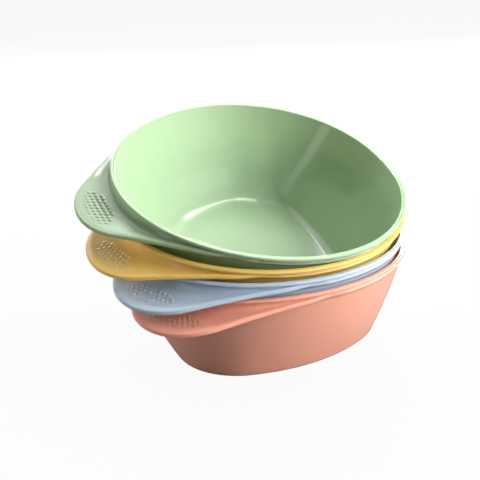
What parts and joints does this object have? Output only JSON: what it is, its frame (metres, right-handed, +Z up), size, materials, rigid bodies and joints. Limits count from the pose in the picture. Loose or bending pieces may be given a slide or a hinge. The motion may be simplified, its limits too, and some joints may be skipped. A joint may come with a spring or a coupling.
{
  "type": "nesting bowls with finger tab",
  "caption": "Nest of identical rounded-triangle plastic bowls, each with a rolled rim and one broad finger tab; every bowl lifts out of the one below.",
  "frame": {"origin": "centre of the lowest (coral) bowl's base, on the table", "axes": "+Z up out of the lowest bowl; -X toward the lowest bowl's finger tab"},
  "size_m": [0.1588, 0.1395, 0.1057],
  "materials": {
    "coral_plastic": "satin injection-moulded polypropylene, coral pink",
    "blue_plastic": "satin injection-moulded polypropylene, dusty blue",
    "yellow_plastic": "satin injection-moulded polypropylene, mustard yellow",
    "green_plastic": "satin injection-moulded polypropylene, sage green"
  },
  "bodies": {
    "coral": {"coral_bowl": "coral_plastic"},
    "blue": {"blue_bowl": "blue_plastic"},
    "yellow": {"yellow_bowl": "yellow_plastic"},
    "green": {"green_bowl": "green_plastic"}
  },
  "joints": [
    {"name": "blue_lift", "type": "slide", "parent": "coral", "child": "blue", "axis": [0, 0, 1], "range_m": [0, 0.06]},
    {"name": "yellow_lift", "type": "slide", "parent": "blue", "child": "yellow", "axis": [-0.0377, -0.0628, 0.9973], "range_m": [0, 0.06]},
    {"name": "green_lift", "type": "slide", "parent": "yellow", "child": "green", "axis": [-0.1277, -0.1631, 0.9783], "range_m": [0, 0.06]}
  ]
}
